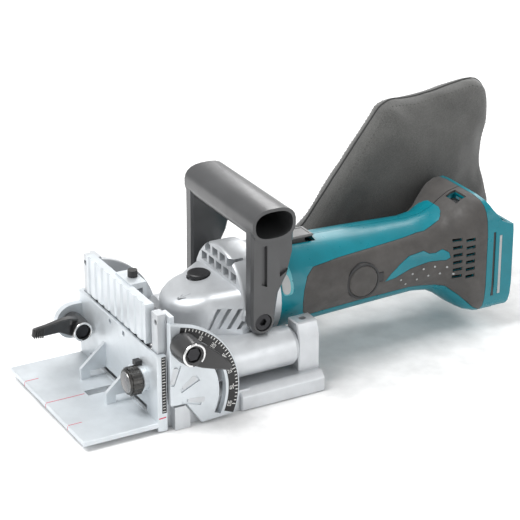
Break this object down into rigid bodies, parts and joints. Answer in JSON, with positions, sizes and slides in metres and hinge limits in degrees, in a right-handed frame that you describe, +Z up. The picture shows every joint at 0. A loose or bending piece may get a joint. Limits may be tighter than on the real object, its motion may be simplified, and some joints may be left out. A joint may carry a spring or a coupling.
{
  "type": "plate joiner",
  "caption": "Cordless biscuit joiner: flat motor body with hoop handle, plunging saw blade, tilting fence with height guide, and a dust bag.",
  "frame": {"origin": "in the middle plane, in the plane of the underside, below the axis the fence tilts about", "axes": "+X to the side with the angle scale, -Y the working end where the blade comes out, +Z up"},
  "size_m": [0.1524, 0.37, 0.15],
  "materials": {
    "casting": "bead-blasted cast",
    "steel": "ground",
    "dark_steel": "blackened",
    "lever": "moulded",
    "handle": "moulded",
    "teal": "satin",
    "rubber": "overmoulded",
    "black": "moulded",
    "felt": "felt",
    "copper": "wound",
    "switch": "moulded"
  },
  "bodies": {
    "base": {"base_case": "casting", "dust_nozzle": "black", "dust_bag": "felt", "guide_rod_near": "steel", "guide_rod_far": "steel", "rod_set_screw_near": "dark_steel", "rod_set_screw_far": "dark_steel", "return_spring_near": "steel", "return_spring_far": "steel", "hinge_pin_near": "steel", "hinge_pin_far": "steel", "tilt_lock_bolt": "dark_steel", "tilt_guide_bolt": "dark_steel"},
    "cover": {"blade_cover": "casting"},
    "stop_dial": {"depth_dial": "black", "depth_dial_pin": "steel"},
    "tilt_lever": {"tilt_lock_lever": "lever"},
    "fence": {"fence_frame": "casting", "height_rack": "steel", "quadrant_near": "casting", "quadrant_far": "casting", "quadrant_screw_near": "dark_steel", "quadrant_screw_far": "dark_steel"},
    "guide": {"angle_guide": "casting", "guide_top_plate": "casting", "clamp_bolt": "dark_steel", "clamp_shoe": "casting", "height_stop_screw": "black"},
    "knob": {"height_knob": "dark_steel", "height_pinion": "steel"},
    "guide_lever": {"guide_lock_lever": "lever"},
    "motor_unit": {"gear_housing": "casting", "bearing_box": "casting", "housing_near": "teal", "housing_far": "teal", "grip_near": "rubber", "grip_far": "rubber", "handle": "handle", "stator": "steel", "armature_bearing": "steel", "spindle_bearing": "steel", "terminal_block": "black", "depth_stop_screw": "steel", "handle_bolt_near": "dark_steel", "handle_bolt_far": "dark_steel", "brush_cap_near": "rubber", "brush_cap_far": "rubber"},
    "cutter": {"spindle": "steel", "crown_gear": "steel", "blade": "steel", "inner_flange": "steel", "lock_nut": "steel"},
    "rotor": {"armature": "copper", "fan": "black", "pinion_gear": "steel"},
    "switch": {"slide_switch": "switch"},
    "lock_button": {"shaft_lock_button": "black"}
  },
  "joints": [
    {"name": "plunge", "type": "slide", "parent": "base", "child": "motor_unit", "axis": [0, -1, 0], "range_m": [0, 0.0205], "stiffness_N_per_m": 350, "springref_m": -0.012, "deforming": ["return_spring_near", "return_spring_far"]},
    {"name": "fence_tilt", "type": "hinge", "parent": "base", "child": "fence", "pos_m": [0, 0, 0.022], "axis": [1, 0, 0], "range_deg": [0, 90]},
    {"name": "guide_height", "type": "slide", "parent": "fence", "child": "guide", "axis": [0, 0, 1], "range_m": [0, 0.046]},
    {"name": "height_knob_turn", "type": "hinge", "parent": "guide", "child": "knob", "pos_m": [0.039, 0, 0.03], "axis": [0, -1, 0], "range_deg": [0, 488.2]},
    {"name": "guide_lever_turn", "type": "hinge", "parent": "guide", "child": "guide_lever", "pos_m": [-0.0528, -0.0138, 0.0326], "axis": [1, 0, 0], "range_deg": [-60, 25]},
    {"name": "tilt_lever_turn", "type": "hinge", "parent": "base", "child": "tilt_lever", "pos_m": [0.0612, 0.0098, 0.0587], "axis": [1, 0, 0], "range_deg": [-20, 60]},
    {"name": "cover_open", "type": "hinge", "parent": "base", "child": "cover", "pos_m": [0, 0.011, 0.0017], "axis": [-1, 0, 0], "range_deg": [0, 100]},
    {"name": "stop_dial_turn", "type": "hinge", "parent": "base", "child": "stop_dial", "pos_m": [-0.026, 0.009, 0.0305], "axis": [0, 1, 0], "range_deg": [0, 300]},
    {"name": "blade_spin", "type": "hinge", "parent": "motor_unit", "child": "cutter", "pos_m": [0, 0.052, 0.01], "axis": [0, 0, 1], "continuous": true},
    {"name": "rotor_spin", "type": "hinge", "parent": "motor_unit", "child": "rotor", "pos_m": [0, 0.052, 0.055], "axis": [0, 1, 0], "continuous": true},
    {"name": "switch_slide", "type": "slide", "parent": "motor_unit", "child": "switch", "axis": [0, -1, 0], "range_m": [0, 0.005]},
    {"name": "shaft_lock_press", "type": "slide", "parent": "motor_unit", "child": "lock_button", "axis": [0, 0, -1], "range_m": [0, 0.003], "stiffness_N_per_m": 300, "springref_m": -0.003}
  ],
  "couplings": [
    {"joint": "guide_height", "follows": "fence_tilt", "m_per_rad": 0.02928},
    {"joint": "height_knob_turn", "follows": "fence_tilt", "ratio": 5.4222},
    {"joint": "rotor_spin", "follows": "blade_spin", "ratio": 2}
  ]
}
